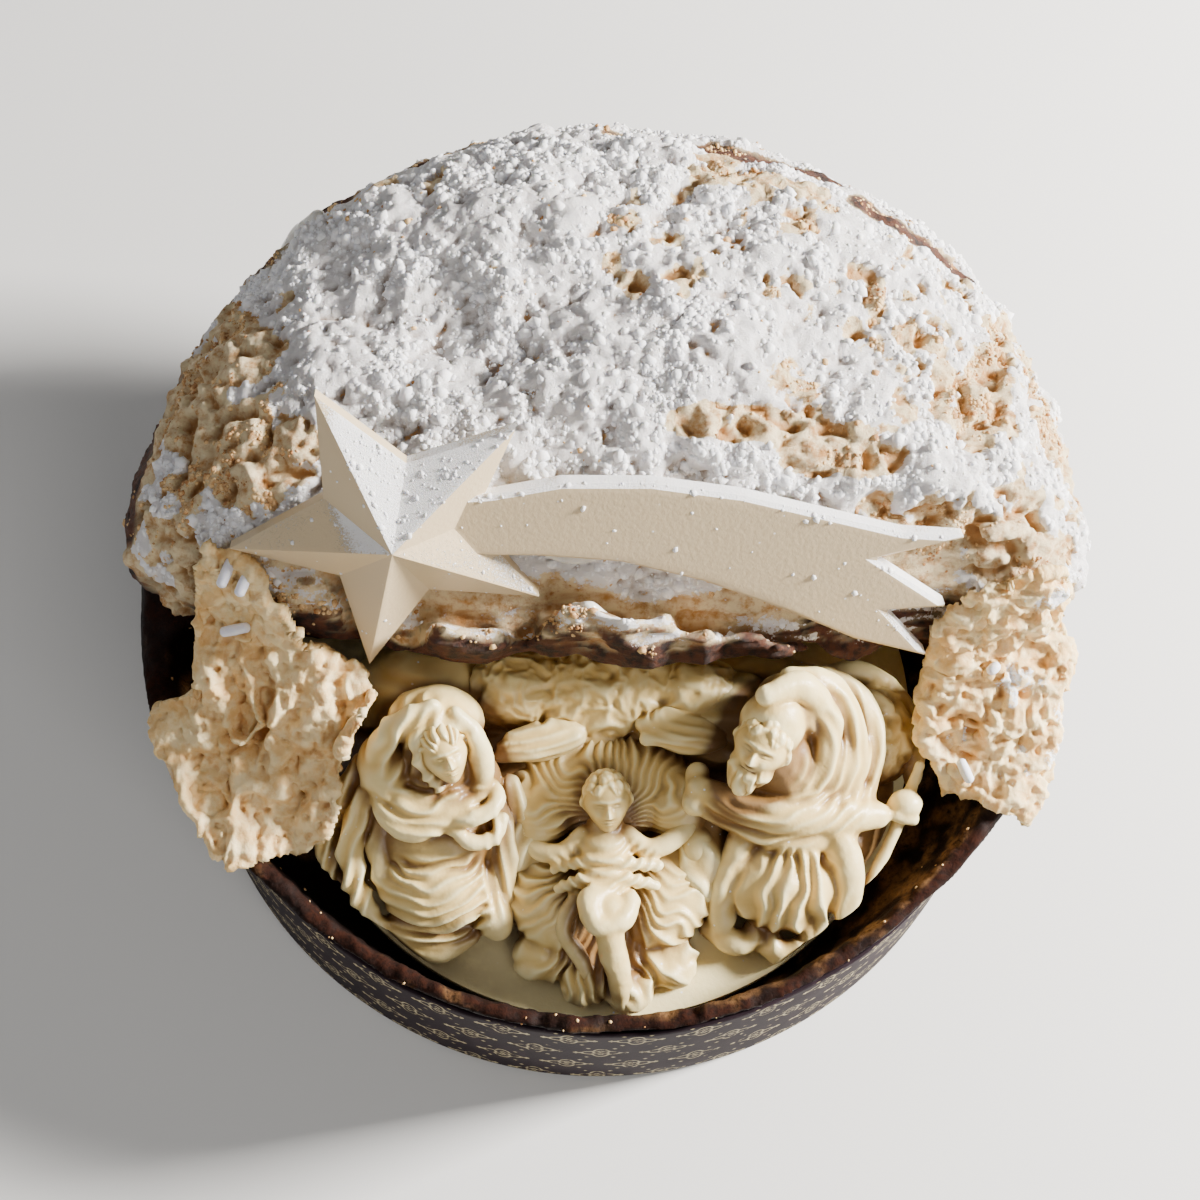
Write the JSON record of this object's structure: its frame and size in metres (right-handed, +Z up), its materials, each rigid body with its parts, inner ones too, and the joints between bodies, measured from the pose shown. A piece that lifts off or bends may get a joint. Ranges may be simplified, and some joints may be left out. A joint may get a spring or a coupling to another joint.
{
  "type": "panettone",
  "caption": "low round sweet bread in a paper case, opened at the front round a white chocolate nativity, sugared cap and comet",
  "frame": {"origin": "on the table under the middle of the round paper case", "axes": "+Z up, -Y to the open front with the figures, +X to the right of someone who faces the front"},
  "size_m": [0.2269, 0.2239, 0.1398],
  "materials": {
    "case_paper": "matt dark paper with a fine pale print",
    "crust": "dark baked crust, slightly glossy",
    "sugared_crust": "crumb under lumpy icing sugar",
    "crumb": "torn soft crumb",
    "white_chocolate": "satin white chocolate"
  },
  "bodies": {
    "root": {"paper_case": "case_paper", "loaf_base": "crust", "loaf_top": "sugared_crust", "torn_crumb_left": "crumb", "torn_crumb_right": "crumb", "chocolate_disc": "white_chocolate", "nativity_group": "white_chocolate", "chocolate_comet": "white_chocolate"}
  },
  "joints": []
}
